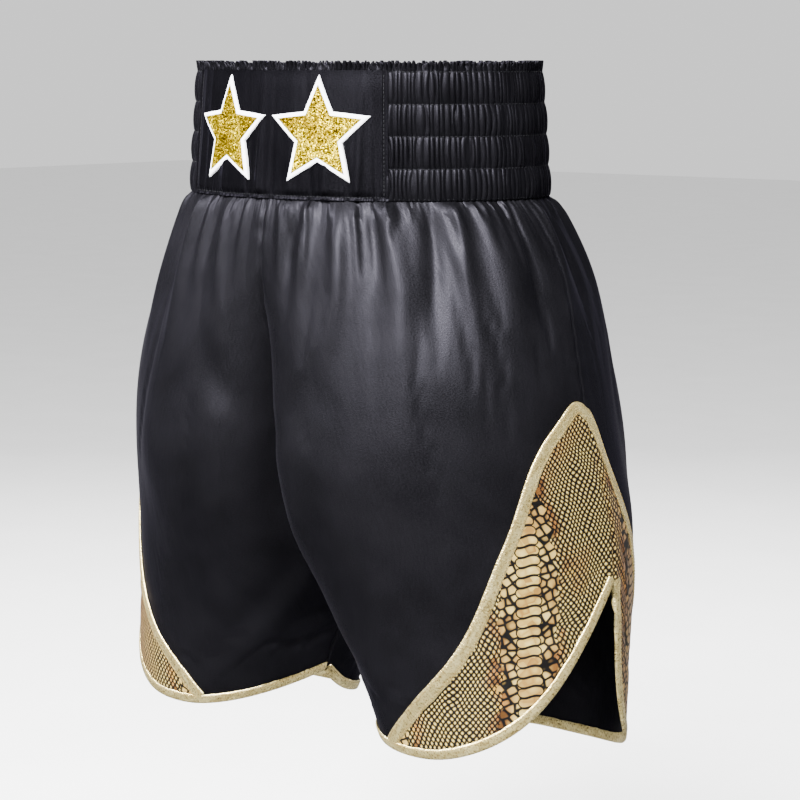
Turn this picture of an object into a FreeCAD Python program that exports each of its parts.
"""Boxing shorts: shirred waistband, four satin panels, snakeskin side trims and bound edges.

Frame, in millimetres: the origin is the centre of the waist opening at the top edge of the
waistband, +Z is up, the front of the shorts faces -Y and the wearer's left side is +X.
"""
import FreeCAD, Part
import math
import os

Vector = FreeCAD.Vector
doc = FreeCAD.newDocument("boxing_shorts")

# ---------------------------------------------------------------- driving dimensions
SIZES = {
    # waistband: an elliptical tube, a little wider at the waist seam than at its top
    "top_half_width": 140, "top_half_depth": 103,
    "seam_half_width": 147, "seam_half_depth": 109,
    "band_height": 97, "heading_height": 8,
    "channel_count": 4, "channel_puff": 2.2,  # gathers stand out most half way down a channel
    # cloth layers
    "outer_cloth": 0.8, "elastic_cloth": 1.2, "lining_cloth": 0.8, "elastic_width": 20,
    "layer_gap": 0.1, "satin_cloth": 0.8, "trim_cloth": 0.7, "trim_lift": 0.4, "binding_cloth": 0.6,
    "binding_width": 7,
    # smooth panel let into the front of the waistband
    "panel_left_edge": 91, "panel_right_edge": -90, "panel_cloth": 2.0, "panel_clearance": 0.4,
    # two five-pointed star emblems: felt backing and glitter top
    "star_radius": 41, "star_waist": 0.47, "star_border": 5.5, "felt_cloth": 1.2, "glitter_cloth": 0.8,
    "left_star_place": 44, "right_star_place": -40, "star_level": -51,
    # body of the shorts
    "flat_width": 300, "seam_gap": 0.3,
}

# Horizontal sections of the left half of the body, each a control polygon of the cloth's surface.
SECTION_COLUMNS = ("level", "half_width", "inner", "round", "lean",
                   "front_depth", "front_crest", "front_seam",
                   "back_depth", "back_crest", "back_seam")
SECTIONS = {
    "waist": (-97, 147, 0, 1, 0, 109, 38, 109, 109, 38, 109),
    "gather": (-132, 176, 0.6, 0.8, 10, 126, 42, 106, 126, 42, 112),
    "hip": (-190, 195, 0.6, 0.4, -4, 137, 44, 96, 144, 46, 105),
    "seat": (-260, 204, 0.6, 0, 2, 137, 48, 70, 147, 51, 80),
    "fork": (-318, 211, 0.6, 0, 20, 129, 56, 30, 138, 58, 34),
    "crotch": (-350, 214, 0.6, 0, 20, 121, 62, 3, 130, 65, 3),
    "thigh": (-400, 219, 23, 0, 14, 103, 84, 0, 113, 84, 0),
    "leg": (-470, 221, 52, 0, 4, 86, 118, 0, 94, 112, 0),
    "below": (-545, 221, 68, 0, 2, 78, 136, 0, 80, 128, 0),
}

# Outlines on the flat cloth: (distance from the side seam, forwards positive; height).
FRONT_HEM = [(0, -364), (26, -410), (61, -452), (116, -481), (164, -488), (224, -481), (300, -470)]
BACK_HEM = [(0, -364), (-6, -412), (-14, -444), (-32, -472), (-62, -492), (-108, -503), (-172, -505),
            (-240, -499), (-276, -487), (-300, -472)]
TRIM_EDGE = [(193, -484), (146, -445), (103, -402), (82, -364), (65, -316), (40, -262), (22, -244),
             (9, -236), (-3, -244), (-11, -266), (-27, -322), (-50, -368), (-79, -408), (-124, -456),
             (-168, -503)]


def write_sheet():
    """Put every driving dimension in the spreadsheet, one aliased cell each."""
    sheet = doc.addObject("Spreadsheet::Sheet", "Sizes")
    values = dict(SIZES)
    for place, numbers in SECTIONS.items():
        for column, number in zip(SECTION_COLUMNS, numbers):
            values[f"{place}_{column}"] = number
    for row, (alias, number) in enumerate(values.items(), start=1):
        sheet.set(f"A{row}", alias)
        sheet.set(f"B{row}", str(number))
        sheet.setAlias(f"B{row}", alias)
    doc.recompute()
    return sheet


sheet = write_sheet()


def size(alias):
    return float(getattr(sheet, alias))


def finish(item, label):
    item.Label = label
    return item


# ---------------------------------------------------------------- waistband rings
def ellipse(name, level, offset):
    """Ellipse of the waistband at a depth below its top edge, grown by an offset.

    level and offset are expressions, so the ring follows the sheet.
    """
    ring = doc.addObject("Part::Ellipse", name)
    share = f"(({level}) / Sizes.band_height)"
    ring.setExpression("MajorRadius", "Sizes.top_half_width + (Sizes.seam_half_width"
                       f" - Sizes.top_half_width) * {share} + {offset}")
    ring.setExpression("MinorRadius", "Sizes.top_half_depth + (Sizes.seam_half_depth"
                       f" - Sizes.top_half_depth) * {share} + {offset}")
    ring.setExpression("Placement.Base.z", f"-({level})")
    return ring


def tube_side(name, rings):
    """Solid with straight sides between (level, offset) rings."""
    side = doc.addObject("Part::Loft", name)
    side.Sections = [ellipse(f"{name}_ring{i}", level, offset) for i, (level, offset) in enumerate(rings)]
    side.Solid = True
    side.Ruled = True
    return side


def ring_wall(name, outer, inner):
    """Elliptical tube: the loft through the outer rings less the loft through the inner rings."""
    wall = doc.addObject("Part::Cut", name)
    wall.Base = tube_side(f"{name}_outside", outer)
    wall.Tool = tube_side(f"{name}_inside", inner)
    return wall


CHANNEL = "((Sizes.band_height - Sizes.heading_height) / Sizes.channel_count)"


def channel_level(count):
    return f"Sizes.heading_height + {count} * {CHANNEL}"


def front_sector(name, clearance):
    """Block that takes the front of the waistband between the panel's two edges."""
    block = doc.addObject("Part::Box", name)
    block.setExpression("Length", f"Sizes.panel_left_edge - Sizes.panel_right_edge + 2 * {clearance}")
    block.setExpression("Width", "Sizes.seam_half_depth")
    block.setExpression("Height", "Sizes.band_height + 40")
    block.setExpression("Placement.Base.x", f"Sizes.panel_right_edge - {clearance}")
    block.setExpression("Placement.Base.y", "-Sizes.seam_half_depth - 20")
    block.setExpression("Placement.Base.z", "-Sizes.band_height - 20")
    return block


def waistband_outer():
    """Shirred outer cloth: puffed over each elastic and drawn in at each stitch line."""
    flat = "Sizes.outer_cloth"
    rings = [("0", f"{flat} + 1"), (channel_level(0), flat)]
    for count in range(int(size("channel_count"))):
        for share in (0.2, 0.4, 0.6, 0.8, 1):
            swell = f"Sizes.channel_puff * sin({share} * 180 deg)"
            rings.append((channel_level(count + share), f"{flat} + {swell}"))
    wall = ring_wall("shirred_wall", rings, [("0", "0"), ("Sizes.band_height", "0")])
    gathered = doc.addObject("Part::Cut", "WaistbandOuter")
    gathered.Base = wall
    gathered.Tool = front_sector("shirred_gap", "Sizes.panel_clearance")
    return finish(gathered, "waistband_outer")


def waistband_front_panel():
    wall = ring_wall("panel_wall", [("0", "Sizes.panel_cloth"), ("Sizes.band_height", "Sizes.panel_cloth")],
                     [("0", "0"), ("Sizes.band_height", "0")])
    panel = doc.addObject("Part::Common", "WaistbandFrontPanel")
    panel.Base = wall
    panel.Tool = front_sector("panel_block", "0")
    return finish(panel, "waistband_front_panel")


def elastic_band(count):
    """One woven elastic in its channel, just inside the outer cloth."""
    margin = f"({CHANNEL} - Sizes.elastic_width) / 2"
    top = f"{channel_level(count)} + {margin}"
    bottom = f"{channel_level(count + 1)} - {margin}"
    outside = "(-Sizes.layer_gap)"
    inside = "(-Sizes.layer_gap - Sizes.elastic_cloth)"
    band = ring_wall(f"ElasticBand{count + 1}", [(top, outside), (bottom, outside)],
                     [(top, inside), (bottom, inside)])
    return finish(band, f"elastic_band_{count + 1}")


def waistband_lining():
    outside = "(-2 * Sizes.layer_gap - Sizes.elastic_cloth)"
    inside = "(-2 * Sizes.layer_gap - Sizes.elastic_cloth - Sizes.lining_cloth)"
    lining = ring_wall("WaistbandLining", [("0", outside), ("Sizes.band_height", outside)],
                       [("0", inside), ("Sizes.band_height", inside)])
    return finish(lining, "waistband_lining")


# ---------------------------------------------------------------- star emblems
def star_outline(name, radius, place):
    """Five-pointed star wire, standing in front of the waistband and square to its cloth."""
    half_width = (size("top_half_width") + size("seam_half_width")) / 2
    half_depth = (size("top_half_depth") + size("seam_half_depth")) / 2
    angle = math.acos(place / half_width)
    normal = Vector(math.cos(angle) / half_width, -math.sin(angle) / half_depth, 0).normalize()
    centre = Vector(place, -half_depth * math.sin(angle), size("star_level")) + normal * 15
    across = Vector(-normal.y, normal.x, 0)
    points = []
    for tip in range(10):
        reach = radius if tip % 2 == 0 else radius * size("star_waist")
        turn = math.pi / 2 + tip * math.pi / 5
        points.append(centre + across * (reach * math.cos(turn)) + Vector(0, 0, reach * math.sin(turn)))
    star = doc.addObject("Part::Feature", name)
    star.Shape = Part.makePolygon(points + points[:1])
    prism = doc.addObject("Part::Extrusion", f"{name}_prism")
    prism.Base = star
    prism.DirMode = "Custom"
    prism.Dir = normal * -1
    prism.LengthFwd = 40
    prism.Solid = True
    return prism


def star_layer(side, kind, radius, start, cloth):
    """One layer of a star: its prism cut out of a wall that lies on the layer below."""
    name = f"{side}Star{kind}"
    end = f"{start} + {cloth}"
    wall = ring_wall(f"{name}_wall", [("0", end), ("Sizes.band_height", end)],
                     [("0", start), ("Sizes.band_height", start)])
    layer = doc.addObject("Part::Common", name)
    layer.Base = star_outline(f"{name}_outline", radius, size(f"{side.lower()}_star_place"))
    layer.Tool = wall
    return finish(layer, f"star_{side.lower()}_{kind.lower()}")


def star_emblem(side):
    felt_start = "(Sizes.panel_cloth + Sizes.layer_gap)"
    glitter_start = f"({felt_start} + Sizes.felt_cloth + Sizes.layer_gap)"
    felt = star_layer(side, "Felt", size("star_radius"), felt_start, "Sizes.felt_cloth")
    glitter_radius = size("star_radius") - size("star_border") / math.sin(math.radians(54))
    glitter = star_layer(side, "Glitter", glitter_radius, glitter_start, "Sizes.glitter_cloth")
    return [felt, glitter]


# ---------------------------------------------------------------- surface of the body
def unit_quadrant():
    """Control polygon of a quarter circle with the same spacing as a section's polygon."""
    turns = [math.pi / 2 * share for share in (1 / 12, 3 / 12, 6 / 12, 9 / 12, 11 / 12)]
    reach = 3 / (2 + math.cos(math.pi / 8))
    middle = [(reach * math.cos(turn), reach * math.sin(turn)) for turn in turns[1:4]]
    return [(1, 0), (1, turns[0])] + middle + [(turns[0], 1), (0, 1)]


def section_poles(place, face):
    """Control polygon of one section, from the side seam round to the centre or inside leg seam."""
    width, inner = size(f"{place}_half_width"), size(f"{place}_inner")
    depth, crest = size(f"{place}_{face}_depth"), size(f"{place}_{face}_crest")
    seam, lean, circle = size(f"{place}_{face}_seam"), size(f"{place}_lean"), size(f"{place}_round")
    towards = -1 if face == "front" else 1
    shoulder = 0.40 if face == "front" else 0.50
    polygon = [(width, 0), (width - 0.06 * (width - crest), 0.5 * depth),
               (crest + shoulder * (width - crest), depth), (crest, depth),
               (crest - 0.6 * (crest - inner), depth), (inner, seam + 0.55 * (depth - seam)), (inner, seam)]
    poles = []
    for (x, y), (cosine, sine) in zip(polygon, unit_quadrant()):
        x = circle * width * cosine + (1 - circle) * x
        y = circle * depth * sine + (1 - circle) * y
        poles.append(Vector(x, towards * y + lean * (1 - y / depth), size(f"{place}_level")))
    return poles


def quarter_surface(face):
    """Bicubic surface of one cloth panel of the left leg."""
    columns = [section_poles(place, face) for place in SECTIONS]
    poles = [[column[i] for column in columns] for i in range(len(columns[0]))]
    across, down = len(poles), len(columns)
    surface = Part.BSplineSurface()
    surface.buildFromPolesMultsKnots(
        poles, [4] + [1] * (across - 4) + [4], [4] + [1] * (down - 4) + [4],
        [float(k) for k in range(across - 2)], [float(k) for k in range(down - 2)], False, False, 3, 3)
    return surface


SURFACES = {face: quarter_surface(face) for face in ("front", "back")}
SECTION_LINES = {}


def section_line(face, level):
    """Horizontal section curve of a panel, with its place down the surface."""
    key = (face, round(level, 4))
    if key not in SECTION_LINES:
        surface = SURFACES[face]
        high, low = 0.0, float(len(SECTIONS) - 3)
        for _ in range(40):
            middle = (high + low) / 2
            if surface.value(0.0, middle).z > level:
                high = middle
            else:
                low = middle
        SECTION_LINES[key] = (high, surface.vIso(high))
    return SECTION_LINES[key]


def cloth_scale(place, level):
    """True width of the body's cloth for each millimetre of the flat pattern."""
    face = "front" if place >= 0 else "back"
    return section_line(face, level)[1].length() / size("flat_width")


def wrap(place, level, lift):
    """Point over the left leg for a place on the flat pattern, lifted outwards off the cloth."""
    face = "front" if place >= 0 else "back"
    down, line = section_line(face, level)
    share = min(abs(place) / size("flat_width"), 1)
    along = line.parameterAtDistance(share * line.length())
    point = line.value(along)
    travel = line.value(min(along + 0.01, line.LastParameter)) - line.value(max(along - 0.01, 0))
    outside = Vector(0, 0, 1).cross(travel) if face == "front" else travel.cross(Vector(0, 0, 1))
    outward = SURFACES[face].normal(along, down)
    if outward.dot(outside) < 0:
        outward = outward * -1
    return point + outward * lift


def mirrored(point, side):
    return Vector(point.x * side, point.y, point.z)


# ---------------------------------------------------------------- outlines and cloth solids
def outline(points):
    """Smooth line through points of the flat pattern."""
    curve = Part.BSplineCurve()
    curve.interpolate([Vector(x, y, 0) for x, y in points])
    return curve


def stations(curve, count, start=0.0, end=1.0):
    """Evenly spaced points of a curve between two shares of its length, as (place, level)."""
    length = curve.length()
    shares = [start + (end - start) * i / (count - 1) for i in range(count)]
    points = [curve.value(curve.parameterAtDistance(share * length)) for share in shares]
    return [(point.x, point.y) for point in points]


def split_share(curve, crosses):
    """Share of a curve's length at which its place on the pattern first meets a condition."""
    for i in range(2001):
        if crosses(curve.value(curve.parameterAtDistance(i / 2000 * curve.length()))):
            return i / 2000
    return 1.0


def cloth_solid(pattern, outer_lift, inner_lift, side):
    """Sheet of cloth: two surfaces through a grid of pattern points, closed round the rim."""
    grids = []
    for lift in (outer_lift, inner_lift):
        grids.append([[mirrored(wrap(place, level, lift), side) for place, level in line]
                      for line in pattern])
    surfaces = []
    for grid in grids:
        surface = Part.BSplineSurface()
        surface.interpolate(grid)
        surfaces.append(surface)
    faces = [surface.toShape() for surface in surfaces]
    limits = [surface.bounds() for surface in surfaces]
    for index in (0, 1):
        rims = [surface.uIso(bound[index]) for surface, bound in zip(surfaces, limits)]
        faces.append(ruled_face(rims[0], rims[1]))
        rims = [surface.vIso(bound[index + 2]) for surface, bound in zip(surfaces, limits)]
        faces.append(ruled_face(rims[0], rims[1]))
    shell = Part.Shell(faces)
    shell.sewShape()
    return closed_solid(shell)


def ruled_face(first, second):
    """Face between two curves that run the same way."""
    return first.makeRuledSurface(second).toShape()


def closed_solid(shell):
    solid = Part.Solid(shell)
    if solid.Volume < 0:
        solid.reverse()
    return solid


def feature(name, label, shape):
    item = doc.addObject("Part::Feature", name)
    item.Shape = shape
    return finish(item, label)


def seam_place(place, face):
    """Keep a pattern place just clear of the side seam and of the inside leg seam."""
    gap = size("seam_gap")
    inside = size("flat_width") - gap
    return min(max(place, gap), inside) if face == "front" else max(min(place, -gap), -inside)


def hem_line(face):
    return outline(FRONT_HEM if face == "front" else BACK_HEM)


def satin_panel(face, side, side_name):
    """Satin panel from the waist seam down to the hem and the side slit."""
    top = size("waist_level") - size("seam_gap")
    towards = 1 if face == "front" else -1
    lines, rows = 28, 20
    pattern = []
    for i, (low_place, bottom) in enumerate(stations(hem_line(face), lines)):
        high_place = towards * size("flat_width") * i / (lines - 1)
        line = []
        for j in range(rows):
            place = high_place + (low_place - high_place) * j / (rows - 1)
            line.append((seam_place(place, face), top + (bottom - top) * j / (rows - 1)))
        pattern.append(line)
    solid = cloth_solid(pattern, 0, -size("satin_cloth"), side)
    return feature(f"Satin_{face}_{side_name}", f"satin_{face}_{side_name}", solid)


def trim_pattern(face):
    """Grid of the snakeskin trim: lines from its upper edge to the slit and hem."""
    lines, rows = 22, 10
    edge = outline(TRIM_EDGE)
    seam_share = split_share(edge, lambda point: point.x <= 0)
    hem = hem_line(face)
    if face == "front":
        end_place = TRIM_EDGE[0][0]
        upper = stations(edge, lines, seam_share, 0.02)
        hem_share = split_share(hem, lambda point: point.x >= end_place)
    else:
        end_place = TRIM_EDGE[-1][0]
        upper = stations(edge, lines, seam_share, 0.98)
        hem_share = split_share(hem, lambda point: point.x <= end_place)
    lower = stations(hem, lines, 0.0, hem_share - 0.01)
    pattern = []
    for (x0, z0), (x1, z1) in zip(upper, lower):
        line = [(x0 + (x1 - x0) * i / (rows - 1), z0 + (z1 - z0) * i / (rows - 1)) for i in range(rows)]
        pattern.append([(seam_place(place, face), level) for place, level in line])
    return pattern


def snakeskin_trim(face, side, side_name):
    start = size("trim_lift")
    solid = cloth_solid(trim_pattern(face), start + size("trim_cloth"), start, side)
    return feature(f"Trim_{face}_{side_name}", f"snakeskin_trim_{face}_{side_name}", solid)


def tape_section(before, here, after, profile, side):
    """Corners of a tape's cross-section at one station of a line on the flat pattern.

    profile lists (distance to the left of the line, lift off the cloth).
    """
    place, level = here
    scale = cloth_scale(place, level)
    run = Vector((after[0] - before[0]) * scale, after[1] - before[1], 0).normalize()
    corners = []
    for reach, lift in profile:
        shifted = (place - run.y * reach / scale, level + run.x * reach)
        corners.append(mirrored(wrap(shifted[0], shifted[1], lift), side))
    return corners


def tape(line, profile, side):
    """Solid tape: ruled faces between smooth rails, one rail for each corner of the profile.

    The profile's corners come in pairs that face each other across the tape's thickness,
    first with last, so the two ends are closed by a chain of quadrilaterals.
    """
    padded = [line[0]] + line + [line[-1]]
    sections = [tape_section(padded[i], padded[i + 1], padded[i + 2], profile, side)
                for i in range(len(line))]
    corner_count = len(profile)
    rails = []
    for corner in range(corner_count):
        curve = Part.BSplineCurve()
        curve.interpolate([section[corner] for section in sections])
        rails.append(curve)
    faces = [ruled_face(rails[i], rails[(i + 1) % corner_count]) for i in range(corner_count)]
    for section in (sections[0], sections[-1]):
        for i in range(corner_count // 2 - 1):
            near = Part.LineSegment(section[i], section[i + 1])
            far = Part.LineSegment(section[corner_count - 1 - i], section[corner_count - 2 - i])
            faces.append(ruled_face(near, far))
    shell = Part.Shell(faces)
    shell.sewShape()
    return closed_solid(shell)


def hem_binding(face, side, side_name):
    """Tape folded over the slit and hem edge of one panel, outside, underneath and inside."""
    hem = hem_line(face)
    clear = 1.2 / hem.length()
    line = stations(hem, 34, clear, 1 - clear)
    turn = 1 if face == "front" else -1
    width, cloth, gap = size("binding_width"), size("binding_cloth"), size("layer_gap")
    outside = size("trim_lift") + size("trim_cloth") + gap
    inside = -size("satin_cloth") - gap
    under = -gap
    over, below = outside + cloth, inside - cloth
    profile = [(turn * width, over), (turn * (under - cloth), over),
               (turn * (under - cloth), below), (turn * width, below),
               (turn * width, inside), (turn * under, inside),
               (turn * under, outside), (turn * width, outside)]
    solid = tape(line, profile, side)
    return feature(f"HemBinding_{face}_{side_name}", f"hem_binding_{face}_{side_name}", solid)


def trim_binding(side, side_name):
    """Flat tape over the upper edge of the trim, from the front hem round the tip to the back hem."""
    edge = outline(TRIM_EDGE)
    clear = (size("binding_width") + 6) / edge.length()
    line = stations(edge, 44, clear, 1 - clear)
    start = size("trim_lift") + size("trim_cloth") + size("layer_gap")
    end = start + size("binding_cloth")
    width = size("binding_width")
    profile = [(-0.5, end), (width - 0.5, end), (width - 0.5, start), (-0.5, start)]
    solid = tape(line, profile, side)
    return feature(f"TrimBinding_{side_name}", f"trim_binding_{side_name}", solid)


# ---------------------------------------------------------------- assembly
def build():
    nodes = [waistband_outer(), waistband_front_panel(), waistband_lining()]
    nodes += [elastic_band(count) for count in range(int(size("channel_count")))]
    for side in ("Left", "Right"):
        nodes += star_emblem(side)
    for side, side_name in ((1, "left"), (-1, "right")):
        for face in ("front", "back"):
            nodes.append(satin_panel(face, side, side_name))
            nodes.append(snakeskin_trim(face, side, side_name))
            nodes.append(hem_binding(face, side, side_name))
        nodes.append(trim_binding(side, side_name))
    doc.recompute()
    return nodes


def check(nodes):
    for item in doc.Objects:
        if "Invalid" in item.State or "Error" in item.State:
            raise RuntimeError(f"{item.Label} is {item.State}")
    for node in nodes:
        shape = node.Shape
        if shape.isNull() or not shape.isValid() or not shape.Solids:
            raise RuntimeError(f"{node.Label} has no valid solid")


def export(nodes):
    os.makedirs("parts", exist_ok=True)
    for node in nodes:
        node.Shape.exportStep(f"parts/{node.Label}.step")
        box = node.Shape.BoundBox
        print(f"{node.Label:28s} {node.Shape.Volume / 1000:8.2f} cm3  x {box.XMin:7.1f} {box.XMax:7.1f}"
              f"  y {box.YMin:7.1f} {box.YMax:7.1f}  z {box.ZMin:7.1f} {box.ZMax:7.1f}")


nodes = build()
check(nodes)
export(nodes)
